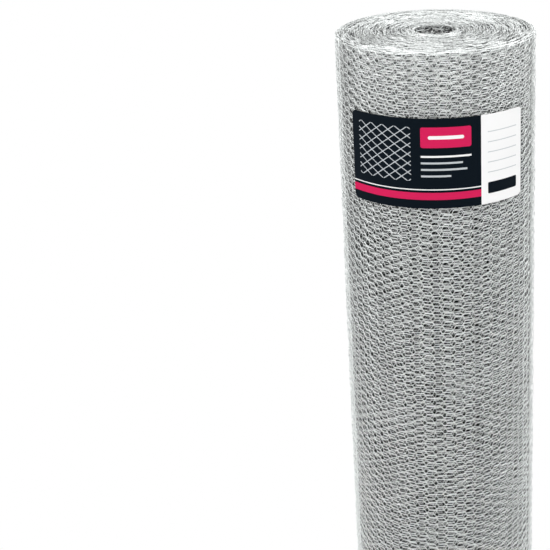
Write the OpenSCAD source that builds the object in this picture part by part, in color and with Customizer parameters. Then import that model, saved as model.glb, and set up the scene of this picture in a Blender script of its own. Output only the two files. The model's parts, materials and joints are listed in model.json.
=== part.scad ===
// Roll of galvanised hexagonal wire netting, standing on one end, with its card label.
// Millimetres. The origin is on the roll's axis at the end that it stands on, and +Z runs up the axis.
// The middle of the label faces -Y.

/* [Roll] */
// Width of the netting, which is the height of the standing roll
roll_height = 1500; // [600:10:2000]
// Outer diameter of the wound roll
roll_diameter = 280; // [200:1:360]
// Diameter of the open bore that the winding mandrel leaves
bore_diameter = 58; // [40:1:80]

/* [Turns on the ends] */
// Radial thickness of one wound turn of netting
turn_thickness = 1.3; // [1:0.05:2]
// Turns that lie flush together and show as one ring on an end
turns_per_ring = 3; // [3:1:5]
// Width of the gap between two rings, at its mouth
ring_gap = 1.2; // [0.8:0.1:2]
// Depth of the gap between two rings
ring_gap_depth = 2.4; // [1:0.1:4]
// Radius that rounds the rim where the outer turns have slipped back
rim_round = 8; // [4:0.5:12]
// Most that a ring on the upper end stands below the highest one
ring_unevenness = 1.6; // [0:0.1:2.5]

/* [Label] */
// Width of the label, measured along its curve
label_width = 260; // [120:1:280]
// Height of the label
label_height = 124; // [60:1:180]
// Thickness of the label's card
label_thickness = 0.4; // [0.2:0.05:0.8]
// Radius of the label's corners
label_corner = 8; // [2:0.5:12]
// Distance from the upper end of the roll down to the label
label_drop = 87; // [40:1:200]
// Clearance between the netting and the back of the label
label_clearance = 0.2; // [0.1:0.05:0.3]

/* [Hidden] */

roll_radius = roll_diameter / 2;
bore_radius = bore_diameter / 2;
ring_count = round((roll_radius - bore_radius) / (turn_thickness * turns_per_ring));
ring_pitch = (roll_radius - bore_radius) / ring_count;
// Turn that spreads neighbouring ring heights without a repeat
golden_angle = 137.5;
round_sides = 180;

label_inner_radius = roll_radius + label_clearance;
label_angle = label_width / label_inner_radius * 180 / PI;
label_bottom = roll_height - label_drop - label_height;
front_angle = -90;
// Length of a corner cutter either side of the card
cutter_reach = 5;

function ring_edge(k) = bore_radius + k * ring_pitch;

// How far the middle of ring k lies into the rounded rim
function rim_depth(k) = max(0, ring_edge(k + 0.5) - (roll_radius - rim_round));

// How far ring k stands back from its end because of the rounded rim
function rim_setback(k) = rim_round - sqrt(rim_round * rim_round - rim_depth(k) * rim_depth(k));

function ring_dip(k) = ring_unevenness * (1 + sin(k * golden_angle)) / 2;

function ring_bottom(k) = rim_setback(k);

function ring_top(k) = roll_height - rim_setback(k) - ring_dip(k);

function crest_start(k) = k == 0 ? bore_radius : ring_edge(k) + ring_gap / 2;

function crest_end(k) = k == ring_count - 1 ? roll_radius : ring_edge(k + 1) - ring_gap / 2;

// Lower end from the bore outwards: a flat crest for each ring and a vee between neighbours
lower_end = [
    for (k = [0 : ring_count - 1]) each concat(
        [[crest_start(k), ring_bottom(k)], [crest_end(k), ring_bottom(k)]],
        k < ring_count - 1
            ? [[ring_edge(k + 1), max(ring_bottom(k), ring_bottom(k + 1)) + ring_gap_depth]]
            : []
    )
];

// Upper end from the outside inwards
upper_end = [
    for (k = [ring_count - 1 : -1 : 0]) each concat(
        [[crest_end(k), ring_top(k)], [crest_start(k), ring_top(k)]],
        k > 0
            ? [[ring_edge(k), min(ring_top(k), ring_top(k - 1)) - ring_gap_depth]]
            : []
    )
];

// The wound netting as one turned body, open along its axis
module netting_roll() {
    color("gainsboro")
        rotate_extrude($fn = round_sides)
            polygon(concat(lower_end, upper_end));
}

// A square-cornered block that leaves a round corner at its origin, cutting towards +X and +Z
module corner_cutter() {
    difference() {
        translate([0, -cutter_reach, 0])
            cube([label_corner * 2, cutter_reach * 2, label_corner * 2]);
        translate([0, -cutter_reach * 2, 0])
            rotate([-90, 0, 0])
                cylinder(r = label_corner, h = cutter_reach * 4, $fn = round_sides);
    }
}

// Trims one corner of the label: side is -1 or 1 along the curve, level is -1 or 1 up the roll
module trim_corner(side, level) {
    inset_angle = label_angle / 2 - label_corner / label_inner_radius * 180 / PI;
    height = level > 0 ? label_bottom + label_height - label_corner : label_bottom + label_corner;
    rotate([0, 0, side * inset_angle])
        translate([0, -label_inner_radius, height])
            face_corner(side, level)
                corner_cutter();
}

// Turns a cutter that faces +X and +Z towards the corner named by side and level
module face_corner(side, level) {
    mirror([side < 0 ? 1 : 0, 0, 0])
        mirror([0, 0, level < 0 ? 1 : 0])
            children();
}

// The card label, bent round the front of the roll
module label() {
    color("#12151b")
        difference() {
            rotate([0, 0, front_angle - label_angle / 2])
                rotate_extrude(angle = label_angle, $fn = round_sides)
                    translate([label_inner_radius, label_bottom])
                        square([label_thickness, label_height]);
            for (side = [-1, 1], level = [-1, 1])
                trim_corner(side, level);
        }
}

netting_roll();
label();
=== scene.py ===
"""A standing roll of galvanised hexagonal wire netting with its card label.

Wound wires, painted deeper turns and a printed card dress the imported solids.
"""

import json
import math
from functools import partial

import bpy
from bpy.props import FloatProperty, FloatVectorProperty, IntProperty, PointerProperty
from mathutils import Matrix, Vector


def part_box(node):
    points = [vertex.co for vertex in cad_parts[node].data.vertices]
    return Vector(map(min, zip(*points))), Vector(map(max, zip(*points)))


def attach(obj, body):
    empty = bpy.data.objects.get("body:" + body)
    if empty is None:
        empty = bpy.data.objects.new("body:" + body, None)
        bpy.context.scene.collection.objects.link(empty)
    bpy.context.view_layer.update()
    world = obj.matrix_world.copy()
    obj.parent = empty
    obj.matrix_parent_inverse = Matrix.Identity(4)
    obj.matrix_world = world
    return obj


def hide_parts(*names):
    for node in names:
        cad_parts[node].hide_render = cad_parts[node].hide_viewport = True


bl_info = {
    "name": "Roll of wire netting",
    "version": (1, 0, 0),
    "blender": (4, 5, 0),
    "location": "View3D > Sidebar > Netting",
    "description": "Dresses the packed roll with wound hexagonal netting, its ends and its label",
    "category": "Add Mesh",
}

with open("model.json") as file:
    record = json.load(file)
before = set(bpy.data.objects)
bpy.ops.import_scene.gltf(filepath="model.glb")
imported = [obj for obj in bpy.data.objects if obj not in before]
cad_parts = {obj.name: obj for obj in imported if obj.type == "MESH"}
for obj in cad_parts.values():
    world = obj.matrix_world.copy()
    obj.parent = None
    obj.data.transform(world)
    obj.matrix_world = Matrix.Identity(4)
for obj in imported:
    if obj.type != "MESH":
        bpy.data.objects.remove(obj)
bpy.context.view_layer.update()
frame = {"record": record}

ROLL_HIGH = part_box("netting_roll")[1]
LABEL_LOW, LABEL_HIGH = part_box("label")
MOUNTS = {mount["name"]: mount for mount in frame["record"]["mounts"]}

ROLL_RADIUS = ROLL_HIGH.x
ROLL_HEIGHT = ROLL_HIGH.z
BORE_RADIUS = MOUNTS["spindle_bore"]["dims"]["r_mm"] / 1000
LABEL_RADIUS = -LABEL_LOW.y
LABEL_HALF_ANGLE = math.asin(LABEL_HIGH.x / LABEL_RADIUS)
LABEL_WIDTH = 2 * LABEL_HALF_ANGLE * LABEL_RADIUS
LABEL_HEIGHT = LABEL_HIGH.z - LABEL_LOW.z

BODY = "root"
MM = 0.001
MATH = "ShaderNodeMath"
VECTOR_MATH = "ShaderNodeVectorMath"
FLOAT = "NodeSocketFloat"
INTEGER = "NodeSocketInt"
WHITE = (1.0, 1.0, 1.0, 1.0)
# Sockets of a mix of two colours: its factor, the colours and the result
FACTOR, FROM, TO, MIXED = 0, 6, 7, 2


def to_linear(hex_colour):
    """Turns an sRGB hex colour into a linear one with full alpha."""
    parts = [int(hex_colour[i : i + 2], 16) / 255 for i in (1, 3, 5)]
    return (*(p / 12.92 if p <= 0.04045 else ((p + 0.055) / 1.055) ** 2.4 for p in parts), 1.0)


def dimmed(colour, share):
    """Gives a linear colour this share of its brightness."""
    return [share * part for part in colour[:3]] + [1.0]


# Sizes and colours


def millimetres(name, description, value):
    """Gives a property for a length."""
    default = value * MM
    return FloatProperty(name=name, description=description, default=default, precision=5, unit="LENGTH")


def degrees(name, description, value):
    """Gives a property for an angle."""
    return FloatProperty(name=name, description=description, default=math.radians(value), subtype="ANGLE")


def srgb(name, description, value):
    """Gives a property for a colour from its hex value."""
    default = to_linear(value)
    return FloatVectorProperty(name=name, description=description, default=default, subtype="COLOR", size=4)


class NettingSizes(bpy.types.PropertyGroup):
    """Sizes of the netting and of the way it is wound"""

    row_height: millimetres("Row height", "Height of half a mesh, from row to row of twists", 6.55)
    mesh_length: millimetres("Mesh length", "Length of a mesh, from twist to twist round the roll", 28.527)
    twist_length: millimetres("Twist length", "Length over which two wires are twisted together", 10.5)
    wire_diameter: millimetres("Wire diameter", "Diameter of a wire, drawn a little thick to show", 0.78)
    selvage_diameter: millimetres("Selvage diameter", "Diameter of the doubled wire along an edge", 0.95)
    turn_pitch: millimetres("Turn pitch", "Radial thickness of one wound turn", 1.3)
    rim_round: millimetres("Rim round", "Radius of the rim where the outer turns have slipped back", 8.0)
    unevenness: millimetres("Unevenness", "Scale of the dips between the turns on the upper end", 13.0)
    bunching: millimetres("Bunching", "How far turns lean together and leave gaps between bunches", 1.0)
    sway: millimetres("Sway", "How far the rows wander from straight lines", 3.0)
    sway_size: millimetres("Sway size", "Distance over which the rows wander", 90.0)
    climb: millimetres("Climb", "How far the rows climb in one turn, which sets the turns out of step", 3.4)
    buckle: millimetres("Buckle", "How far single twists lie from their regular places", 0.8)
    free_end_angle: degrees("Free end angle", "Angle from +X at which the outer turn ends", 70)
    seed: IntProperty(name="Seed", description="Seed of the netting's wander", default=7)


class CardSizes(bpy.types.PropertyGroup):
    """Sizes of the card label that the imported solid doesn't give"""

    thickness: millimetres("Thickness", "Thickness of the card", 0.4)
    corner: millimetres("Corner", "Radius of the card's corners", 8.0)
    curl: millimetres("Curl", "How far the upright edges of the card lift off the netting", 0.7)
    curl_width: millimetres("Curl width", "Width of the strip along an upright edge that lifts", 26.0)


class Finishes(bpy.types.PropertyGroup):
    """Colours of the zinc, the card and the ink printed on it, and the painted shade between the turns"""

    zinc: srgb("Zinc", "Bright hot-dip zinc on the wire", "#F2F5F4")
    # Painted shade: a dark colour that stands for the shade deep between the turns
    gap_shade: srgb("Gap shade", "Shade between the turns, deep in the roll", "#1A1C1B")
    card_black: srgb("Card black", "Ink of the label's field", "#070F16")
    card_white: srgb("Card white", "Bare card of the label", "#E1E1E1")
    card_grey: srgb("Card grey", "Pale grey ink of the label's rules and diamonds", "#B1B6BA")
    card_red: srgb("Card red", "Red ink of the label", "#C01F50")


class StageSizes(bpy.types.PropertyGroup):
    """Camera, lamps and floor"""

    camera_distance: millimetres("Camera distance", "Level distance from the axis to the camera", 1944.0)
    camera_above: millimetres("Camera above", "Height of the camera above the upper end of the roll", 430.0)
    camera_pitch: degrees("Camera pitch", "Angle at which the camera looks down", 22.22)
    camera_roll: degrees("Camera roll", "Angle at which the camera leans", -1.07)
    lens: FloatProperty(
        name="Lens", description="Focal length on a 36 mm sensor", default=93.86, subtype="DISTANCE_CAMERA"
    )
    camera_shift: FloatProperty(
        name="Camera shift",
        description="Sideways shift that puts the roll at the right of the frame",
        default=-0.2996,
    )
    floor_radius: millimetres("Floor radius", "Radius of the pale floor", 14000.0)
    shadow_radius: millimetres("Shadow radius", "Distance from the axis to the end of the shade", 750.0)
    lamp_power: FloatProperty(
        name="Lamp power", description="Power of which each lamp has its share", default=72.5, unit="POWER"
    )


# Nodes


def add_node(tree, kind, links=(), **settings):
    """Adds a node with its settings, links or fills its inputs, and returns its first output."""
    node = tree.nodes.new(kind)
    for name, value in settings.items():
        setattr(node, name, value)
    for key, value in links.items() if isinstance(links, dict) else enumerate(links):
        if isinstance(value, bpy.types.NodeSocket):
            tree.links.new(value, node.inputs[key])
        else:
            node.inputs[key].default_value = value
    return node.outputs[0] if node.outputs else node


def new_group(name, kind, inputs, outputs):
    """Makes a node group, and returns it with the function that adds to it and its input sockets."""
    tree = bpy.data.node_groups.new(name, kind)
    for side, sockets in (("INPUT", inputs), ("OUTPUT", outputs)):
        for socket, labels in sockets.items():
            for label in labels:
                tree.interface.new_socket(label, in_out=side, socket_type=socket)
    return tree, partial(add_node, tree), tree.nodes.new("NodeGroupInput").outputs


def new_material(name):
    """Makes an empty node material, and returns it with the function that adds to it."""
    material = bpy.data.materials.new(name)
    material.use_nodes = True
    material.node_tree.nodes.clear()
    return material, partial(add_node, material.node_tree)


def put(name, data):
    """Puts an object with this data into the scene."""
    thing = bpy.data.objects.new(name, data)
    bpy.context.scene.collection.objects.link(thing)
    return thing


def grow(name, tree, values):
    """Runs a geometry tree with these input values and returns its result as a plain mesh object."""
    holder = put(name, bpy.data.meshes.new(name))
    modifier = holder.modifiers.new("grow", "NODES")
    modifier.node_group = tree
    for item in tree.interface.items_tree:
        if item.in_out == "INPUT" and item.name in values:
            modifier[item.identifier] = values[item.name]
    depsgraph = bpy.context.evaluated_depsgraph_get()
    mesh = bpy.data.meshes.new_from_object(holder.evaluated_get(depsgraph))
    holder.modifiers.remove(modifier)
    holder.data = mesh
    mesh.name = name
    return holder


def settle(piece):
    """Lets a finished piece ride on the roll's body."""
    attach(piece, BODY)


# The winding that all wires follow

WINDING_SIZES = (
    "Sheet Radius",
    "Roll Radius",
    "Turn Pitch",
    "Start Angle",
    "Height",
    "Rim Round",
    "Unevenness",
    "Bunching",
    "Seed",
)
# Turns in a bunch, and how far its rings stray from true circles, in bunches
BUNCH_TURNS = 6.0
BUNCH_STRAY = 1.6
# Size of a patch of the end in which the bunches part clearly, and the noise where it starts and is full
PATCH_SIZE = 10 * MM
PATCH_START, PATCH_FULL = 0.3, 0.5
# Cosine at which a gap between bunches starts, and its dip as a share of the unevenness
GAP_START = 0.3
GAP_DIP = 0.4
# How far the noise of single dips moves on from one turn to the next and round the roll
DIP_PER_TURN = 0.55
DIP_ROUND = 0.8
# Scale of the noises on the ends, which multiplies their place and their seed
NOISE_SCALE = 5.0
# Width of the band at the rim in which the turns lie level
CALM_RIM = 10 * MM
# Turns of netting that are wound wire by wire inside the bore
BORE_TURNS = 2
# Room for the thickness and wander of the selvage inside each end
END_ROOM = 1.1 * MM


def make_winding():
    """Group that winds a point of the flat sheet: its arc from the free end and its share of the height."""
    inputs = {FLOAT: ("Arc", "Share", "Lift", "Proud", *WINDING_SIZES)}
    outputs = {"NodeSocketVector": ("Position",), FLOAT: ("Sunk",)}
    tree, add, given = new_group("winding", "GeometryNodeTree", inputs, outputs)
    sheet, pitch = given["Sheet Radius"], given["Turn Pitch"]

    # An inward spiral of even pitch: the radius falls with the root of the arc
    used = add(MATH, (given["Arc"], pitch), operation="MULTIPLY")
    used = add(MATH, (used, math.pi), operation="DIVIDE")
    square = add(MATH, (sheet, 2.0), operation="POWER")
    square = add(MATH, (square, used), operation="SUBTRACT")
    radius = add(MATH, (square,), operation="SQRT")
    turned = add(MATH, (sheet, radius), operation="SUBTRACT")
    turned = add(MATH, (turned, pitch), operation="DIVIDE")
    angle = add(MATH, (turned, math.tau, given["Start Angle"]), operation="MULTIPLY_ADD")
    cosine = add(MATH, (angle,), operation="COSINE")
    sine = add(MATH, (angle,), operation="SINE")

    # How far the rounded rim sets this turn back
    flat = add(MATH, (given["Roll Radius"], given["Rim Round"]), operation="SUBTRACT")
    depth = add(MATH, (radius, flat), operation="SUBTRACT")
    depth = add(MATH, (depth, 0.0), operation="MAXIMUM")
    depth = add(MATH, (depth, depth), operation="MULTIPLY")
    drop = add(MATH, (given["Rim Round"], given["Rim Round"]), operation="MULTIPLY")
    drop = add(MATH, (drop, depth), operation="SUBTRACT")
    drop = add(MATH, (drop,), operation="SQRT")
    setback = add(MATH, (given["Rim Round"], drop), operation="SUBTRACT")
    setback = add(MATH, (setback, END_ROOM), operation="ADD")

    # Turns lie in bunches with gaps between them, clearer in some patches of the end than in others
    ring = add("ShaderNodeCombineXYZ", (cosine, sine, 0.0))
    disc = add(VECTOR_MATH, {0: ring, "Scale": radius}, operation="SCALE")
    disc = add(VECTOR_MATH, {0: disc, "Scale": 1 / (NOISE_SCALE * PATCH_SIZE)}, operation="SCALE")
    noise = {"W": given["Seed"], "Scale": NOISE_SCALE, "Detail": 0.0}
    patch = add("ShaderNodeTexNoise", {**noise, "Vector": disc, "Detail": 1.0}, noise_dimensions="4D")
    patch = add("ShaderNodeMapRange", {"Value": patch, "From Min": PATCH_START, "From Max": PATCH_FULL})
    across = add(MATH, (turned, DIP_PER_TURN), operation="MULTIPLY")
    deep = add("ShaderNodeCombineXYZ", (0.0, 0.0, across))
    spot = add(VECTOR_MATH, (ring, (DIP_ROUND,) * 3, deep), operation="MULTIPLY_ADD")
    single = add("ShaderNodeTexNoise", {**noise, "Vector": spot}, noise_dimensions="4D")
    slow = add(VECTOR_MATH, (ring, (1.0, 1.0, 0.0), disc), operation="MULTIPLY_ADD")
    stray = add("ShaderNodeTexNoise", {**noise, "Vector": slow}, noise_dimensions="4D")
    stray = add(MATH, (stray, BUNCH_STRAY), operation="MULTIPLY")
    bunch = add(MATH, (turned, 1 / BUNCH_TURNS, stray), operation="MULTIPLY_ADD")
    bunch = add(MATH, (bunch, math.tau), operation="MULTIPLY")
    # The rim itself is drawn level by its tight outer turns
    calm = add(MATH, (given["Roll Radius"], radius), operation="SUBTRACT")
    calm = add(MATH, (calm, CALM_RIM), operation="DIVIDE", use_clamp=True)
    patch = add(MATH, (patch, calm), operation="MULTIPLY")
    lean = add(MATH, (bunch,), operation="SINE")
    lean = add(MATH, (lean, patch), operation="MULTIPLY")
    lean = add(MATH, (lean, given["Bunching"]), operation="MULTIPLY")
    # The turn in the middle of a gap stands lower, and so does a turn here and there
    gap = add(MATH, (bunch,), operation="COSINE")
    gap = add("ShaderNodeMapRange", {"Value": gap, "From Min": GAP_START, "To Max": GAP_DIP})
    gap = add(MATH, (gap, patch), operation="MULTIPLY")
    single = add(MATH, (single, 0.5), operation="SUBTRACT")
    single = add(MATH, (single, 0.0), operation="MAXIMUM")
    single = add(MATH, (single, calm), operation="MULTIPLY")
    dip = add(MATH, (gap, single), operation="ADD")
    dip = add(MATH, (dip, given["Unevenness"]), operation="MULTIPLY")
    sunk = add(MATH, (dip, given["Share"]), operation="MULTIPLY")

    top = add(MATH, (given["Height"], setback), operation="SUBTRACT")
    top = add(MATH, (top, dip), operation="SUBTRACT")
    width = add(MATH, (top, setback), operation="SUBTRACT")
    level = add(MATH, (width, given["Share"], setback), operation="MULTIPLY_ADD")
    level = add(MATH, (level, given["Lift"]), operation="ADD")
    level = add(MATH, (level, top), operation="MINIMUM")
    reach = add(MATH, (radius, given["Proud"]), operation="ADD")
    reach = add(MATH, (reach, lean), operation="ADD")
    ring = add(VECTOR_MATH, {0: ring, "Scale": reach}, operation="SCALE")
    up = add("ShaderNodeCombineXYZ", (0.0, 0.0, level))
    place = add(VECTOR_MATH, (ring, up), operation="ADD")
    add("NodeGroupOutput", (place, sunk))
    return tree


def add_wander(add, noise, dimensions, reach):
    """Adds a noise in three directions about zero, and returns it times its reach."""
    wander = add("ShaderNodeTexNoise", noise, noise_dimensions=dimensions).node.outputs["Color"]
    wander = add(VECTOR_MATH, (wander, (0.5, 0.5, 0.5)), operation="SUBTRACT")
    return add(VECTOR_MATH, {0: wander, "Scale": reach}, operation="SCALE")


def add_wires(add, given, winding, line, flat):
    """Winds lines of points, makes smooth round wires of them and sends these to the tree's output."""
    sizes = {label: given[label] for label in WINDING_SIZES}
    place = add("GeometryNodeGroup", {**flat, **sizes}, node_tree=winding)
    points = add("GeometryNodeSetPosition", {"Geometry": line, "Position": place})
    sunk = {"Geometry": points, "Name": "sunk", "Value": place.node.outputs["Sunk"]}
    points = add("GeometryNodeStoreNamedAttribute", sunk)
    curve = add("GeometryNodeMeshToCurve", (points,))
    circle = {"Resolution": given["Sides"], "Radius": given["Wire Radius"]}
    section = add("GeometryNodeCurvePrimitiveCircle", circle)
    sweep = {"Curve": curve, "Profile Curve": section, "Fill Caps": True}
    wires = add("GeometryNodeCurveToMesh", sweep)
    wires = add("GeometryNodeSetShadeSmooth", (wires,))
    wires = add("GeometryNodeRealizeInstances", (wires,))
    wires = add("GeometryNodeSetMaterial", {"Geometry": wires, "Material": given["Material"]})
    add("NodeGroupOutput", (wires,))


# How fast the rows' wander grows from an edge of the sheet, for each share of its height
EDGE_GRIP = 40.0


def make_netting(winding):
    """Tree of zigzag wires that twist in pairs at each row, as hexagonal netting, wound on the spiral."""
    counts = ("Wires", "First Wire", "Wires In All", "Steps", "First Step", "Twist Segments", "Sides")
    lengths = ("Mesh Length", "Twist Length", "Wire Radius", "Sway", "Sway Size", "Skew", "Buckle")
    inputs = {INTEGER: counts, FLOAT: lengths + WINDING_SIZES, "NodeSocketMaterial": ("Material",)}
    outputs = {"NodeSocketGeometry": ("Geometry",)}
    tree, add, given = new_group("netting", "GeometryNodeTree", inputs, outputs)

    # All wires are one line of points, cut between one wire and the next
    stride = add(MATH, (given["Twist Segments"], 1.0), operation="ADD")
    per_wire = add(MATH, (given["Steps"], stride, 1.0), operation="MULTIPLY_ADD")
    count = add(MATH, (per_wire, given["Wires"]), operation="MULTIPLY")
    line = add("GeometryNodeMeshLine", {"Count": count})
    index = add("GeometryNodeInputIndex")
    next_edge = add(MATH, (index, 1.0), operation="ADD")
    over = add(MATH, (next_edge, per_wire), operation="FLOORED_MODULO")
    last = add(MATH, (over, 0.5), operation="LESS_THAN")
    line = add("GeometryNodeDeleteGeometry", (line, last), domain="EDGE", mode="EDGE_FACE")

    # Wire, half mesh and point in its twist
    wire = add(MATH, (index, per_wire), operation="DIVIDE")
    wire = add(MATH, (wire,), operation="FLOOR")
    point = add(MATH, (index, per_wire), operation="FLOORED_MODULO")
    step = add(MATH, (point, stride), operation="DIVIDE")
    step = add(MATH, (step,), operation="FLOOR")
    step = add(MATH, (step, given["First Step"]), operation="ADD")
    part = add(MATH, (point, stride), operation="FLOORED_MODULO")
    part = add(MATH, (part, given["Twist Segments"]), operation="DIVIDE")
    wire = add(MATH, (wire, given["First Wire"]), operation="ADD")
    side = add(MATH, (step, wire), operation="ADD")
    side = add(MATH, (side, 2.0), operation="FLOORED_MODULO")
    row = add(MATH, (wire, side), operation="ADD")
    share = add(MATH, (row, given["Wires In All"]), operation="DIVIDE")
    half_mesh = add(MATH, (given["Mesh Length"], 0.5), operation="MULTIPLY")
    arc = add(MATH, (step, half_mesh), operation="MULTIPLY")
    arc = add(MATH, (part, given["Twist Length"], arc), operation="MULTIPLY_ADD")

    # The two wires of a twist go once round each other
    sign = add(MATH, (side, -2.0, 1.0), operation="MULTIPLY_ADD")
    swing = add(MATH, (sign, given["Wire Radius"]), operation="MULTIPLY")
    turn = add(MATH, (part, math.tau), operation="MULTIPLY")
    lift = add(MATH, (turn,), operation="COSINE")
    lift = add(MATH, (lift, swing), operation="MULTIPLY")
    proud = add(MATH, (turn,), operation="SINE")
    proud = add(MATH, (proud, swing), operation="MULTIPLY")

    # Rows wander along and up the sheet, and no longer up it at its edges
    level = add(MATH, (share, given["Height"]), operation="MULTIPLY")
    spot = add("ShaderNodeCombineXYZ", (arc, level, 0.0))
    frequency = add(MATH, (1.0, given["Sway Size"]), operation="DIVIDE")
    spot = add(VECTOR_MATH, {0: spot, "Scale": frequency}, operation="SCALE")
    noise = {"Vector": spot, "W": given["Seed"], "Scale": 1.0, "Detail": 1.0}
    noise = add_wander(add, noise, "4D", given["Sway"])
    noise = add(VECTOR_MATH, {0: noise, "Scale": 2.0}, operation="SCALE")
    wander = add("ShaderNodeSeparateXYZ", (noise,)).node.outputs
    edge = add(MATH, (1.0, share), operation="SUBTRACT")
    edge = add(MATH, (share, edge), operation="MULTIPLY")
    edge = add(MATH, (edge, EDGE_GRIP), operation="MULTIPLY", use_clamp=True)
    arc = add(MATH, (arc, wander[0]), operation="ADD")
    lift = add(MATH, (wander[1], edge, lift), operation="MULTIPLY_ADD")
    lift = add(MATH, (arc, given["Skew"], lift), operation="MULTIPLY_ADD")
    # Each twist lies a little off its place, along, up and out of the sheet
    twist = add("ShaderNodeCombineXYZ", (step, row, given["Seed"]))
    bent = add("ShaderNodeTexWhiteNoise", (twist,)).node.outputs["Color"]
    bent = add(VECTOR_MATH, (bent, (2.0, 2.0, 2.0), (-1.0, -1.0, -1.0)), operation="MULTIPLY_ADD")
    bent = add(VECTOR_MATH, {0: bent, "Scale": given["Buckle"]}, operation="SCALE")
    bent = add("ShaderNodeSeparateXYZ", (bent,)).node.outputs
    arc = add(MATH, (arc, bent[0]), operation="ADD")
    lift = add(MATH, (bent[1], edge, lift), operation="MULTIPLY_ADD")
    proud = add(MATH, (proud, bent[2]), operation="ADD")

    flat = {"Arc": arc, "Share": share, "Lift": lift, "Proud": proud}
    add_wires(add, given, winding, line, flat)
    return tree


def make_selvage(winding):
    """Tree of the doubled wire along one edge of the sheet, wound from the rim to the bore."""
    counts = ("Points", "Sides")
    lengths = ("Spacing", "Share", "Wire Radius", "Wander", "Wander Size")
    inputs = {INTEGER: counts, FLOAT: lengths + WINDING_SIZES, "NodeSocketMaterial": ("Material",)}
    outputs = {"NodeSocketGeometry": ("Geometry",)}
    tree, add, given = new_group("selvage", "GeometryNodeTree", inputs, outputs)
    line = add("GeometryNodeMeshLine", {"Count": given["Points"]})
    index = add("GeometryNodeInputIndex")
    arc = add(MATH, (index, given["Spacing"]), operation="MULTIPLY")
    line = add("GeometryNodeStoreNamedAttribute", {"Geometry": line, "Name": "along", "Value": arc})

    # The wire leans in and out and dips a little between the twists that hold it
    spot = add(MATH, (arc, given["Wander Size"]), operation="DIVIDE")
    noise = add_wander(add, {"W": spot, "Scale": 1.0, "Detail": 1.0}, "1D", given["Wander"])
    wander = add("ShaderNodeSeparateXYZ", (noise,)).node.outputs

    flat = {"Arc": arc, "Share": given["Share"], "Lift": wander[0], "Proud": wander[1]}
    add_wires(add, given, winding, line, flat)
    return tree


# Finishes


# Distance from a painted wire, as a share of the height above or below it
CLOSER = 0.6


def make_hexagons():
    """Shader group that draws one layer of hexagonal netting: 1 on the crest of a wire, 0 off it."""
    inputs = {FLOAT: ("Arc", "Level", "Mesh Length", "Row Height", "Twist Share", "Wire Radius")}
    tree, add, given = new_group("hexagons", "ShaderNodeTree", inputs, {FLOAT: ("Crest",)})
    rows = add(MATH, (given["Level"], given["Row Height"]), operation="DIVIDE")
    wire = add(MATH, (rows,), operation="FLOOR")
    up = add(MATH, (rows,), operation="FRACT")
    meshes = add(MATH, (given["Arc"], given["Mesh Length"]), operation="DIVIDE")
    phase = add(MATH, (wire, 0.5, meshes), operation="MULTIPLY_ADD")
    phase = add(MATH, (phase,), operation="FRACT")

    # The wire lies on its lower row, climbs to the upper one, lies there and comes down again
    lower_end = given["Twist Share"]
    upper_end = add(MATH, (lower_end, 0.5), operation="ADD")
    climb = add("ShaderNodeMapRange", {"Value": phase, "From Min": lower_end, "From Max": 0.5})
    fall = add("ShaderNodeMapRange", {"Value": phase, "From Min": upper_end, "From Max": 1.0})
    height = add(MATH, (climb, fall), operation="SUBTRACT")
    away = add(MATH, (up, height), operation="SUBTRACT")
    away = add(MATH, (away,), operation="ABSOLUTE")
    away = add(MATH, (away, given["Row Height"]), operation="MULTIPLY")
    # A climbing wire lies closer than its height says, and a twist is two wires thick
    away = add(MATH, (away, CLOSER), operation="MULTIPLY")
    away = add(MATH, (away, given["Wire Radius"]), operation="DIVIDE")
    away = add(MATH, (away, away), operation="MULTIPLY")
    crest = add(MATH, (1.0, away), operation="SUBTRACT", use_clamp=True)
    crest = add(MATH, (crest,), operation="SQRT")
    add("NodeGroupOutput", (crest,))
    return tree


# Distance from one strand of the twisted selvage to the next
STRAND_SPACING = 4.6 * MM
# Depth at which a sunk turn is in full painted shade
SUNK_DEEP = 5 * MM
# Brightness of a duller patch of zinc, and what its oxide leaves of the sheen seen edge on
DULL_SHADE = 0.92
EDGE_SHEEN = 0.75


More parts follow.
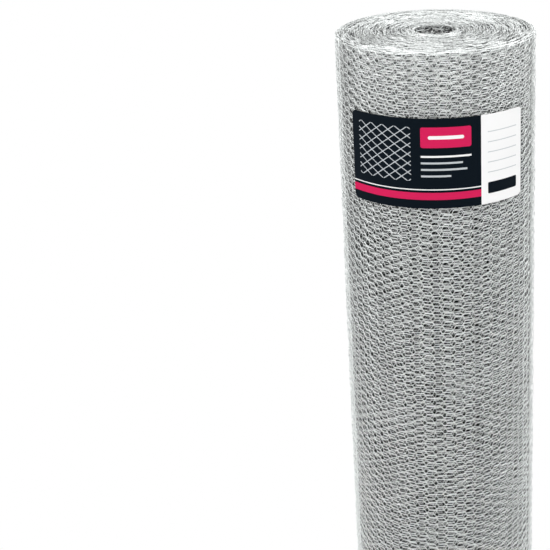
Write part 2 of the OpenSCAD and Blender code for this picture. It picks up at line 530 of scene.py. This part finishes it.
def make_zinc(finishes):
    """Hot-dip zinc on drawn wire: a bright metal, half matt, with duller patches here and there and painted
    shade.
    """
    material, add = new_material("galvanised_zinc")
    place = add("ShaderNodeTexCoord").node.outputs["Object"]
    patch_size = 40 * MM
    patches = add("ShaderNodeTexNoise", {"Vector": place, "Scale": 1 / patch_size, "Detail": 3.0})
    dull = add("ShaderNodeMapRange", {"Value": patches, "From Min": 0.35, "From Max": 0.7})
    shades = {FACTOR: dull, FROM: tuple(finishes.zinc), TO: dimmed(finishes.zinc, DULL_SHADE)}
    colour = add("ShaderNodeMix", shades, data_type="RGBA").node.outputs[MIXED]
    # Painted shade: the zinc darkens where a turn has sunk between its neighbours
    sunk = add("ShaderNodeAttribute", attribute_name="sunk").node.outputs["Fac"]
    shade = add("ShaderNodeMapRange", {"Value": sunk, "From Max": SUNK_DEEP, "To Max": 0.95})
    inks_and_shade = {FACTOR: shade, FROM: colour, TO: tuple(finishes.gap_shade)}
    colour = add("ShaderNodeMix", inks_and_shade, data_type="RGBA").node.outputs[MIXED]
    # The selvage is two wires twisted together, with painted shade in the valleys between them
    along = add("ShaderNodeAttribute", attribute_name="along").node.outputs["Fac"]
    valley = add(MATH, (along, STRAND_SPACING / 2), operation="PINGPONG")
    shade = {"From Min": STRAND_SPACING / 5, "From Max": STRAND_SPACING / 2, "To Max": 0.25}
    valley = add("ShaderNodeMapRange", {"Value": valley, **shade})
    inks_and_shade = {FACTOR: valley, FROM: colour, TO: tuple(finishes.gap_shade)}
    colour = add("ShaderNodeMix", inks_and_shade, data_type="RGBA").node.outputs[MIXED]
    roughness = add("ShaderNodeMapRange", {"Value": patches, "To Min": 0.42, "To Max": 0.58})
    # Runs and lumps of zinc, drawn at 3 mm so that they show
    lump_size = 3 * MM
    lumps = add("ShaderNodeTexNoise", {"Vector": place, "Scale": 1 / lump_size, "Detail": 2.0})
    normal = add("ShaderNodeBump", {"Strength": 0.25, "Distance": 0.1 * MM, "Height": lumps})
    # A dull skin of oxide keeps the zinc from whitening where it is seen edge on
    surface = {"Base Color": colour, "Metallic": 1.0, "Roughness": roughness, "Normal": normal}
    surface["Specular Tint"] = dimmed(WHITE, EDGE_SHEEN)
    shader = add("ShaderNodeBsdfPrincipled", surface)
    add("ShaderNodeOutputMaterial", (shader,))
    return material


# Turns of netting that are painted, from the deepest to the nearest: number of the turn, its
# brightness, which is painted shade that darkens the deeper turns, and the thickness of its wires
DEEP_LAYERS = (
    (8, 0.16, 1.1),
    (7, 0.27, 1.05),
    (6, 0.40, 1.0),
    (5, 0.57, 0.95),
    (4, 0.80, 0.95),
)
# The bore's own depth shades its wall, so less shade is painted there
BORE_GAIN = 1.7
# How far painted light comes down between the turns from the upper end, and the gamma that lifts the
# painted shade there
LIT_DEPTH = 180 * MM
LIT_GAMMA = 0.5
# Brightness of the ends of the deeper turns, dimmed as painted shade because they lie in shade
EDGE_SHADE = 0.12
# Zinc that is painted on a smooth body shows less of its mirror than the round wires do
PAINTED_ZINC = {"Metallic": 0.85, "Roughness": 0.5}


def make_deep_netting(name, finishes, sizes, hexagons, gain):
    """Zinc wires of the turns below the first ones, layer over layer on painted shade, painted darker the
    deeper they lie.
    """
    material, add = new_material(name)
    sheet = add("ShaderNodeUVMap", uv_map="sheet")
    spot = add("ShaderNodeSeparateXYZ", (sheet,)).node.outputs
    start, pitch = sheet_radius(sizes), sizes.turn_pitch
    # The painted wires lie on a ground of painted shade
    colour, relief = tuple(finishes.gap_shade), 0.0
    for turn, brightness, thickness in DEEP_LAYERS:
        # Arc from the free end to this turn, along the same spiral as the wires
        turned = add(MATH, (spot[0], turn - 1.0), operation="ADD")
        arc = add(MATH, (turned, -pitch, 2 * start), operation="MULTIPLY_ADD")
        arc = add(MATH, (arc, turned), operation="MULTIPLY")
        arc = add(MATH, (arc, math.pi), operation="MULTIPLY")
        level = add(MATH, (turned, -sizes.climb, spot[1]), operation="MULTIPLY_ADD")
        flat = add("ShaderNodeCombineXYZ", (arc, level, 0.0))
        sway = {"Vector": flat, "W": float(sizes.seed), "Scale": 1 / sizes.sway_size, "Detail": 1.0}
        wander = add_wander(add, sway, "4D", -2 * sizes.sway)
        flat = add(VECTOR_MATH, (flat, wander), operation="ADD")
        flat = add("ShaderNodeSeparateXYZ", (flat,)).node.outputs
        layer = {
            "Arc": flat[0],
            "Level": flat[1],
            "Mesh Length": sizes.mesh_length,
            "Row Height": (ROLL_HEIGHT - 2 * END_ROOM) / wire_count(sizes),
            "Twist Share": sizes.twist_length / sizes.mesh_length,
            "Wire Radius": sizes.wire_diameter / 2 * thickness,
        }
        crest = add("ShaderNodeGroup", layer, node_tree=hexagons)
        # Painted shade: each turn's zinc is dimmed by its brightness, the deeper the darker
        shades = {FACTOR: crest, FROM: colour, TO: dimmed(finishes.zinc, min(1.0, gain * brightness))}
        colour = add("ShaderNodeMix", shades, data_type="RGBA").node.outputs[MIXED]
        height = add(MATH, (crest, brightness), operation="MULTIPLY")
        relief = add(MATH, (relief, height), operation="MAXIMUM")
    # Painted light: near the upper end the painted turns are brightened, as light also comes down between
    # the turns
    level = {"Value": spot[1], "From Min": ROLL_HEIGHT - LIT_DEPTH, "From Max": ROLL_HEIGHT}
    shade = add("ShaderNodeMapRange", {**level, "To Min": 1.0, "To Max": LIT_GAMMA})
    colour = add("ShaderNodeGamma", (colour, shade))
    normal = add("ShaderNodeBump", {"Strength": 0.6, "Distance": 1.0 * MM, "Height": relief})
    surface = {"Base Color": colour, "Normal": normal, **PAINTED_ZINC}
    shader = add("ShaderNodeBsdfPrincipled", surface)
    add("ShaderNodeOutputMaterial", (shader,))
    return material


def make_turn_edges(finishes, sizes):
    """The ends of the deeper turns: fine rings of zinc dimmed as painted shade, with painted shade between
    them.
    """
    material, add = new_material("galvanised_turn_edges")
    place = add("ShaderNodeTexCoord").node.outputs["Object"]
    flat = add(VECTOR_MATH, (place, (1.0, 1.0, 0.0)), operation="MULTIPLY")
    radius = add(VECTOR_MATH, (flat,), operation="LENGTH").node.outputs["Value"]
    wobble_size, wobble_reach = 30 * MM, 3 * sizes.turn_pitch
    wobble = add("ShaderNodeTexNoise", {"Vector": flat, "Scale": 1 / wobble_size, "Detail": 1.0})
    wobble = add(MATH, (wobble, wobble_reach), operation="MULTIPLY")
    radius = add(MATH, (radius, wobble), operation="ADD")
    ring = add(MATH, (radius, sizes.turn_pitch), operation="PINGPONG")
    ring = add("ShaderNodeMapRange", {"Value": ring, "From Max": sizes.turn_pitch})
    shades = {FACTOR: ring, FROM: tuple(finishes.gap_shade), TO: dimmed(finishes.zinc, EDGE_SHADE)}
    colour = add("ShaderNodeMix", shades, data_type="RGBA").node.outputs[MIXED]
    normal = add("ShaderNodeBump", {"Strength": 0.5, "Distance": 0.6 * MM, "Height": ring})
    surface = {"Base Color": colour, "Normal": normal, **PAINTED_ZINC}
    shader = add("ShaderNodeBsdfPrincipled", surface)
    add("ShaderNodeOutputMaterial", (shader,))
    return material


# Printed areas of the card in mm: middle along and up, half width and half height, corner radius, ink
CARD_AREAS = (
    (225.0, 62.0, 35.0, 62.0, 0.1, "card_white"),
    *((225.0, 44.0 + 14.0 * k, 25.0, 0.6, 0.1, "card_grey") for k in range(5)),
    (225.0, 22.0, 25.0, 8.0, 2.0, "card_black"),
    (95.0, 17.0, 95.0, 5.0, 0.1, "card_red"),
    (95.0, 26.2, 95.0, 0.7, 0.1, "card_white"),
    (142.0, 98.0, 34.0, 14.0, 3.0, "card_red"),
    (142.0, 98.0, 24.0, 2.4, 2.4, "card_white"),
    (142.0, 72.0, 34.0, 1.3, 0.1, "card_white"),
    (136.0, 63.0, 28.0, 1.3, 0.1, "card_grey"),
    (139.0, 54.0, 31.0, 1.3, 0.1, "card_grey"),
    (128.0, 45.0, 20.0, 1.3, 0.1, "card_grey"),
)
CARD_WINDOW = (54.0, 75.0, 40.5, 37.0, 4.0)
# Size of a diamond in the window, and the half thickness of its lines as a share of their spacing
DIAMOND_WIDTH = 18 * MM
DIAMOND_HEIGHT = 12.5 * MM
DIAMOND_LINE = 0.055


def add_area(add, place, middle_u, middle_v, half_width, half_height, corner):
    """Adds a mask that is 1 inside a rectangle with round corners, all in mm."""
    away = add(VECTOR_MATH, (place, (middle_u * MM, middle_v * MM, 0.0)), operation="SUBTRACT")
    away = add(VECTOR_MATH, (away,), operation="ABSOLUTE")
    flat = ((half_width - corner) * MM, (half_height - corner) * MM, 1.0)
    away = add(VECTOR_MATH, (away, flat), operation="SUBTRACT")
    away = add(VECTOR_MATH, (away, (0.0, 0.0, 0.0)), operation="MAXIMUM")
    away = add(VECTOR_MATH, (away,), operation="LENGTH").node.outputs["Value"]
    return add(MATH, (away, corner * MM), operation="LESS_THAN")


def make_printed_card(finishes):
    """Matt card printed black, with a window of diamonds, red areas, plain rules and a bare white panel."""
    material, add = new_material("printed_card")
    place = add("ShaderNodeUVMap", uv_map="card")
    spot = add("ShaderNodeSeparateXYZ", (place,)).node.outputs
    # Two sets of slanted lines cross in the window
    along = add(MATH, (spot[0], DIAMOND_WIDTH), operation="DIVIDE")
    lines = 0.0
    for slope in (1, -1):
        lean = add(MATH, (spot[1], slope / DIAMOND_HEIGHT, along), operation="MULTIPLY_ADD")
        away = add(MATH, (lean, 0.5), operation="PINGPONG")
        inside = add(MATH, (away, DIAMOND_LINE), operation="LESS_THAN")
        lines = add(MATH, (lines, inside), operation="MAXIMUM")
    window = add_area(add, place, *CARD_WINDOW)
    lines = add(MATH, (lines, window), operation="MULTIPLY")
    inks_and_shade = {FACTOR: lines, FROM: tuple(finishes.card_black), TO: tuple(finishes.card_grey)}
    colour = add("ShaderNodeMix", inks_and_shade, data_type="RGBA").node.outputs[MIXED]
    for *area, ink in CARD_AREAS:
        inside = add_area(add, place, *area)
        inks_and_shade = {FACTOR: inside, FROM: colour, TO: tuple(getattr(finishes, ink))}
        colour = add("ShaderNodeMix", inks_and_shade, data_type="RGBA").node.outputs[MIXED]
    # The netting below presses soft waves into the card, about a mesh apart
    wave_size = 13 * MM
    waves = add("ShaderNodeTexNoise", {"Vector": place, "Scale": 1 / wave_size, "Detail": 1.0})
    normal = add("ShaderNodeBump", {"Strength": 0.2, "Distance": 0.3 * MM, "Height": waves})
    # Matt ink hardly mirrors, so its specular level is low
    surface = {"Base Color": colour, "Roughness": 0.55, "Specular IOR Level": 0.03, "Normal": normal}
    shader = add("ShaderNodeBsdfPrincipled", surface)
    add("ShaderNodeOutputMaterial", (shader,))
    return material


def make_bare_card():
    """Grey board, the back and the cut edge of the card: dull, flecked with pale and dark fibres."""
    material, add = new_material("bare_card")
    place = add("ShaderNodeTexCoord").node.outputs["Object"]
    # Real fibres are a few hundredths of a millimetre thick, and are drawn at 1 mm so that they show
    fibre_size = 1 * MM
    fibres = add("ShaderNodeTexNoise", {"Vector": place, "Scale": 1 / fibre_size, "Detail": 2.0})
    shades = {FACTOR: fibres, FROM: to_linear("#7C7A74"), TO: to_linear("#A3A19B")}
    colour = add("ShaderNodeMix", shades, data_type="RGBA").node.outputs[MIXED]
    surface = {"Base Color": colour, "Roughness": 0.8, "Specular IOR Level": 0.2}
    shader = add("ShaderNodeBsdfPrincipled", surface)
    add("ShaderNodeOutputMaterial", (shader,))
    return material


# Pieces


# Turns that are wound wire by wire at the outside, and sides of a wire's section
OUTER_TURNS = 3
WIRE_SIDES = 3


def winding_values(sizes):
    """Values of the winding's inputs for the whole sheet, from its free end."""
    return {
        "Sheet Radius": sheet_radius(sizes),
        "Roll Radius": ROLL_RADIUS,
        "Turn Pitch": sizes.turn_pitch,
        "Start Angle": sizes.free_end_angle,
        "Height": ROLL_HEIGHT,
        "Rim Round": sizes.rim_round,
        "Unevenness": sizes.unevenness,
        "Bunching": sizes.bunching,
        "Seed": float(sizes.seed),
    }


def netting_values(sizes, material):
    """Values of the netting's inputs that all its turns share."""
    return {
        "Wires": wire_count(sizes),
        "First Wire": 0,
        "Wires In All": wire_count(sizes),
        "First Step": 0,
        "Twist Segments": 1,
        "Sides": WIRE_SIDES,
        "Mesh Length": sizes.mesh_length,
        "Twist Length": sizes.twist_length,
        "Wire Radius": sizes.wire_diameter / 2,
        "Sway": sizes.sway,
        "Sway Size": sizes.sway_size,
        "Skew": sizes.climb / (math.tau * sheet_radius(sizes)),
        "Buckle": sizes.buckle,
        "Material": material,
        **winding_values(sizes),
    }


def sheet_radius(sizes):
    """Radius of the middle of the sheet at its free end, with the twists inside the roll's outer size."""
    return ROLL_RADIUS - 1.5 * sizes.wire_diameter - sizes.buckle


def wire_count(sizes):
    """Number of wires that lie one above another in the netting."""
    return round(ROLL_HEIGHT / sizes.row_height)


def shared(name, make, *needs):
    """Gives the node group or material of this name, and makes it the first time."""
    found = bpy.data.node_groups.get(name) or bpy.data.materials.get(name)
    return found or make(*needs)


def supplies(finishes):
    """The netting and selvage trees and the zinc that all wires have."""
    winding = shared("winding", make_winding)
    netting, selvage = shared("netting", make_netting, winding), shared("selvage", make_selvage, winding)
    return netting, selvage, shared("galvanised_zinc", make_zinc, finishes)


class NETTING_OT_core(bpy.types.Operator):
    """Builds the wound turns below the outer ones as one turned body with its bore"""

    bl_idname = "netting.core"
    bl_label = "Deep turns"

    def execute(self, context):
        sizes, finishes = context.scene.netting_sizes, context.scene.netting_finishes
        outer = sheet_radius(sizes) - OUTER_TURNS * sizes.turn_pitch - 2 * sizes.wire_diameter
        inner = BORE_RADIUS + (BORE_TURNS + 1) * sizes.turn_pitch
        # The ends lie deep between the turns, and rise at the rim where the turns lie tight
        deep, rim = 1.5 * sizes.row_height, 0.6 * sizes.row_height
        chamfer, ledge = sizes.rim_round / 3, sizes.rim_round
        upper = [(outer, rim + chamfer), (outer - chamfer, rim), (outer - ledge, deep), (inner, deep)]
        profile = upper[::-1] + [(r, ROLL_HEIGHT - z) for r, z in upper]
        segments = 180
        vertices, faces, uvs, slots = [], [], [], []
        for k in range(segments):
            angle = sizes.free_end_angle + math.tau * k / segments
            vertices += [(r * math.cos(angle), r * math.sin(angle), z) for r, z in profile]
        size = len(profile)
        for k in range(segments):
            for i in range(size):
                a, b = k * size, (k + 1) % segments * size
                j = (i + 1) % size
                faces.append((a + i, b + i, b + j, a + j))
                corners = ((i, k), (i, k + 1), (j, k + 1), (j, k))
                uvs += [(n / segments, profile[p][1] - END_ROOM) for p, n in corners]
                upright = profile[i][0] == profile[j][0]
                wall = 0 if profile[i][0] == outer else 2
                slots.append(wall if upright else 1)
        mesh = bpy.data.meshes.new("deep_turns")
        mesh.from_pydata(vertices, [], faces)
        layer = mesh.uv_layers.new(name="sheet")
        for loop, uv in zip(layer.data, uvs):
            loop.uv = uv
        mesh.polygons.foreach_set("material_index", slots)
        hexagons = shared("hexagons", make_hexagons)
        needs = finishes, sizes, hexagons
        mesh.materials.append(make_deep_netting("galvanised_deep_turns", *needs, 1.0))
        mesh.materials.append(make_turn_edges(finishes, sizes))
        mesh.materials.append(make_deep_netting("galvanised_bore_wall", *needs, BORE_GAIN))
        piece = put("deep_turns", mesh)
        settle(piece)
        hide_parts("netting_roll")
        return {"FINISHED"}


class NETTING_OT_outer_turns(bpy.types.Operator):
    """Winds the outer three turns of netting wire by wire, the outermost with round twists"""

    bl_idname = "netting.outer_turns"
    bl_label = "Outer turns"

    def execute(self, context):
        sizes, finishes = context.scene.netting_sizes, context.scene.netting_finishes
        netting, _, zinc = supplies(finishes)
        values = netting_values(sizes, zinc)
        half_meshes = math.tau * sheet_radius(sizes) / (sizes.mesh_length / 2)
        third = math.ceil(half_meshes / 3)
        whole = math.ceil(half_meshes)
        # Each run has a name, its half meshes and the segments of a twist
        runs = [(f"outer_turn_{k}", third, 3) for k in (1, 2, 3)]
        runs += [("second_turn", whole, 1), ("third_turn", whole, 1)]
        first = 0
        for name, steps, segments in runs:
            run = {"Steps": steps, "First Step": first, "Twist Segments": segments}
            settle(grow(name, netting, {**values, **run}))
            first += steps
        return {"FINISHED"}


class NETTING_OT_bore_turns(bpy.types.Operator):
    """Winds the innermost turns of netting, which show in the bore"""

    bl_idname = "netting.bore_turns"
    bl_label = "Bore turns"

    def execute(self, context):
        sizes, finishes = context.scene.netting_sizes, context.scene.netting_finishes
        netting, _, zinc = supplies(finishes)
        bore = {
            "Sheet Radius": BORE_RADIUS + (BORE_TURNS + 0.5) * sizes.turn_pitch,
            "Unevenness": 0.0,
            "Steps": math.ceil(BORE_TURNS * math.tau * BORE_RADIUS / (sizes.mesh_length / 2)),
        }
        piece = grow("bore_turns", netting, {**netting_values(sizes, zinc), **bore})
        settle(piece)
        return {"FINISHED"}


class NETTING_OT_ends(bpy.types.Operator):
    """Winds the selvage wires and the last row of meshes of every turn on both ends"""

    bl_idname = "netting.ends"
    bl_label = "Ends"

    def execute(self, context):
        sizes, finishes = context.scene.netting_sizes, context.scene.netting_finishes
        netting, selvage, zinc = supplies(finishes)
        start, end = sheet_radius(sizes), BORE_RADIUS + sizes.turn_pitch
        length = math.pi * (start**2 - end**2) / sizes.turn_pitch
        spacing = 5 * MM
        values = netting_values(sizes, zinc)
        edge = {
            "Points": round(length / spacing),
            "Sides": WIRE_SIDES,
            "Spacing": spacing,
            "Wire Radius": sizes.selvage_diameter / 2,
            "Wander": 1.2 * MM,
            "Wander Size": 12 * MM,
            "Material": zinc,
            **winding_values(sizes),
        }
        row = {**values, "Wires": 1, "Steps": math.floor(length / (sizes.mesh_length / 2)), "Skew": 0.0}
        for side, share, wire in (("upper", 1.0, wire_count(sizes) - 1), ("lower", 0.0, 0)):
            settle(grow(f"{side}_selvage", selvage, {**edge, "Share": share}))
            settle(grow(f"{side}_end_row", netting, {**row, "First Wire": wire}))
        return {"FINISHED"}


class NETTING_OT_label(bpy.types.Operator):
    """Builds the card label bent round the front of the roll, its upright edges lifted a little"""

    bl_idname = "netting.label"
    bl_label = "Label"

    def execute(self, context):
        finishes, card = context.scene.netting_finishes, context.scene.netting_card
        # Columns along the card, each with its inset at the round corners
        steps, spans, rows = 8, 88, 16
        bends = [math.pi / 2 * k / steps for k in range(steps)]
        left = [(card.corner * (1 - math.cos(a)), card.corner * (1 - math.sin(a))) for a in bends]
        straight = LABEL_WIDTH - 2 * card.corner
        columns = left + [(card.corner + straight * k / spans, 0.0) for k in range(spans + 1)]
        columns += [(LABEL_WIDTH - u, inset) for u, inset in reversed(left)]

        vertices, spots = [], []
        for depth in (0.0, card.thickness):
            for u, inset in columns:
                near = max(0.0, 1 - min(u, LABEL_WIDTH - u) / card.curl_width)
                radius = LABEL_RADIUS - depth + card.curl * near**2
                angle = (u - LABEL_WIDTH / 2) / LABEL_RADIUS
                for k in range(rows + 1):
                    v = inset + (LABEL_HEIGHT - 2 * inset) * k / rows
                    vertices.append((radius * math.sin(angle), -radius * math.cos(angle), LABEL_LOW.z + v))
                    spots.append((u, v))

        count, back = len(columns), len(columns) * (rows + 1)
        grid = [[i * (rows + 1) + j for j in range(rows + 1)] for i in range(count)]
        printed, bare = [], []
        for i in range(count - 1):
            for j in range(rows):
                quad = (grid[i][j], grid[i + 1][j], grid[i + 1][j + 1], grid[i][j + 1])
                printed.append(quad)
                bare.append(tuple(back + k for k in reversed(quad)))
        lower, upper = [row[0] for row in grid], [row[-1] for row in grid]
        outline = lower + grid[-1][1:-1] + upper[::-1] + grid[0][-2:0:-1]
        for a, b in zip(outline, outline[1:] + outline[:1]):
            bare.append((b, a, back + a, back + b))

        mesh = bpy.data.meshes.new("card_label")
        mesh.from_pydata(vertices, [], printed + bare)
        mesh.polygons.foreach_set("material_index", [0] * len(printed) + [1] * len(bare))
        mesh.shade_smooth()
        mesh.set_sharp_from_angle(angle=math.radians(40))
        layer = mesh.uv_layers.new(name="card")
        for loop, uv in zip(mesh.loops, layer.data):
            uv.uv = spots[loop.vertex_index]
        mesh.materials.append(make_printed_card(finishes))
        mesh.materials.append(make_bare_card())
        piece = put("card_label", mesh)
        settle(piece)
        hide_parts("label")
        return {"FINISHED"}


def add_seen(add):
    """Adds a mask that is 1 for what the camera sees, straight or in a mirror."""
    rays = add("ShaderNodeLightPath").node.outputs
    seen = add(MATH, (rays["Is Camera Ray"], rays["Is Glossy Ray"]), operation="MAXIMUM")
    return add(MATH, (seen, rays["Is Transmission Ray"]), operation="MAXIMUM")


# Share of the shade's radius within which it is full, and the white that is mixed into it there
FULL_SHADE = 0.4
SHADE_WHITE = 0.4
# Light that the white surround gives, as a share of the white that it shows
SURROUND_LIGHT = 0.05
# Place, width and height and share of the power of each lamp, in metres
LAMPS = {
    "front_lamp": ((0.0, -2.1, 2.1), (5.6, 1.2), 0.92),
    "left_lamp": ((-2.2, -0.75, 2.1), (2.6, 1.8), 0.62),
    "right_lamp": ((2.3, -0.45, 2.1), (2.4, 1.8), 0.60),
    "back_lamp": ((0.0, 2.0, 2.5), (2.8, 1.2), 0.30),
}
# Height that the lamps are aimed at, as a share of the roll's
LAMP_AIM = 0.75


class NETTING_OT_stage(bpy.types.Operator):
    """Sets the pale floor, the soft lamps, the white surround and the camera"""

    bl_idname = "netting.stage"
    bl_label = "Stage"

    def execute(self, context):
        stage = context.scene.netting_stage
        self.add_floor(stage)
        self.add_surround(context)
        self.add_lamps(stage)
        self.add_camera(context, stage)
        return {"FINISHED"}

    def add_floor(self, stage):
        """A wide disc that shows the roll's shadow near it and is plain white farther off."""
        sides = 96
        ring = [math.tau * k / sides for k in range(sides)]
        mesh = bpy.data.meshes.new("floor")
        mesh.from_pydata(
            [(stage.floor_radius * math.cos(a), stage.floor_radius * math.sin(a), 0.0) for a in ring],
            [],
            [tuple(range(sides))],
        )
        material, add = new_material("white_studio_floor")
        place = add("ShaderNodeTexCoord").node.outputs["Object"]
        away = add(VECTOR_MATH, (place,), operation="LENGTH").node.outputs["Value"]
        reach = {"From Min": FULL_SHADE * stage.shadow_radius, "From Max": stage.shadow_radius}
        white = {"Value": away, **reach, "To Min": SHADE_WHITE}
        white = add("ShaderNodeMapRange", white, interpolation_type="SMOOTHSTEP")
        share = add(MATH, (add_seen(add), white), operation="MULTIPLY")
        paint = add("ShaderNodeBsdfDiffuse", {"Color": to_linear("#F6F6F6")})
        glow = add("ShaderNodeEmission", {"Color": WHITE, "Strength": 1.0})
        shader = add("ShaderNodeMixShader", (share, paint, glow))
        add("ShaderNodeOutputMaterial", (shader,))
        mesh.materials.append(material)
        floor = put("floor", mesh)

    def add_surround(self, context):
        """A white surround for what is seen and mirrored, and a softer one for what it lights."""
        world = bpy.data.worlds.new("white_surround")
        world.use_nodes = True
        world.node_tree.nodes.clear()
        add = partial(add_node, world.node_tree)
        strength = add("ShaderNodeMapRange", {"Value": add_seen(add), "To Min": SURROUND_LIGHT})
        light = add("ShaderNodeBackground", {"Color": WHITE, "Strength": strength})
        add("ShaderNodeOutputWorld", (light,))
        # Only the surfaces' own rays find the surround, so that metal mirrors all of it
        world.cycles.sampling_method = "NONE"
        context.scene.world = world

    def add_lamps(self, stage):
        """Large soft lamps at the front, at both sides and behind, all above the roll."""
        aim = Vector((0.0, 0.0, LAMP_AIM * ROLL_HEIGHT))
        for name, (place, size, share) in LAMPS.items():
            data = bpy.data.lights.new(name, "AREA")
            data.shape = "RECTANGLE"
            data.size, data.size_y = size
            data.energy = stage.lamp_power * share
            lamp = put(name, data)
            lamp.location = place
            lamp.rotation_euler = (aim - Vector(place)).to_track_quat("-Z", "Y").to_euler()

    def add_camera(self, context, stage):
        """The photograph's point of view."""
        data = bpy.data.cameras.new("camera")
        data.sensor_width = 36.0
        data.lens = stage.lens
        data.shift_x = stage.camera_shift
        data.clip_end = 100.0
        camera = put("camera", data)
        place = Matrix.Translation((0.0, -stage.camera_distance, ROLL_HEIGHT + stage.camera_above))
        pitch = Matrix.Rotation(math.pi / 2 - stage.camera_pitch, 4, "X")
        roll = Matrix.Rotation(stage.camera_roll, 4, "Z")
        camera.matrix_world = place @ pitch @ roll
        context.scene.camera = camera
        context.scene.view_settings.view_transform = "Standard"


STEPS = (
    NETTING_OT_core,
    NETTING_OT_outer_turns,
    NETTING_OT_bore_turns,
    NETTING_OT_ends,
    NETTING_OT_label,
    NETTING_OT_stage,
)


class NETTING_PT_panel(bpy.types.Panel):
    """Lists the roll's sizes and the steps that build it"""

    bl_idname = "NETTING_PT_panel"
    bl_label = "Roll of netting"
    bl_space_type = "VIEW_3D"
    bl_region_type = "UI"
    bl_category = "Netting"

    def draw(self, context):
        for group in (getattr(context.scene, name) for name in GROUPS):
            box = self.layout.box()
            for name in group.__annotations__:
                box.prop(group, name)
        for step in STEPS:
            self.layout.operator(step.bl_idname)


GROUPS = {
    "netting_sizes": NettingSizes,
    "netting_card": CardSizes,
    "netting_finishes": Finishes,
    "netting_stage": StageSizes,
}
CLASSES = (*GROUPS.values(), *STEPS, NETTING_PT_panel)


def register():
    for cls in CLASSES:
        bpy.utils.register_class(cls)
    for name, group in GROUPS.items():
        setattr(bpy.types.Scene, name, PointerProperty(type=group))


def unregister():
    for name in GROUPS:
        delattr(bpy.types.Scene, name)
    for cls in reversed(CLASSES):
        bpy.utils.unregister_class(cls)


def main():
    """Builds every piece and sets the stage."""
    register()
    bpy.ops.netting.core()
    bpy.ops.netting.outer_turns()
    bpy.ops.netting.bore_turns()
    bpy.ops.netting.ends()
    bpy.ops.netting.label()
    bpy.ops.netting.stage()


if __name__ == "__main__":
    main()
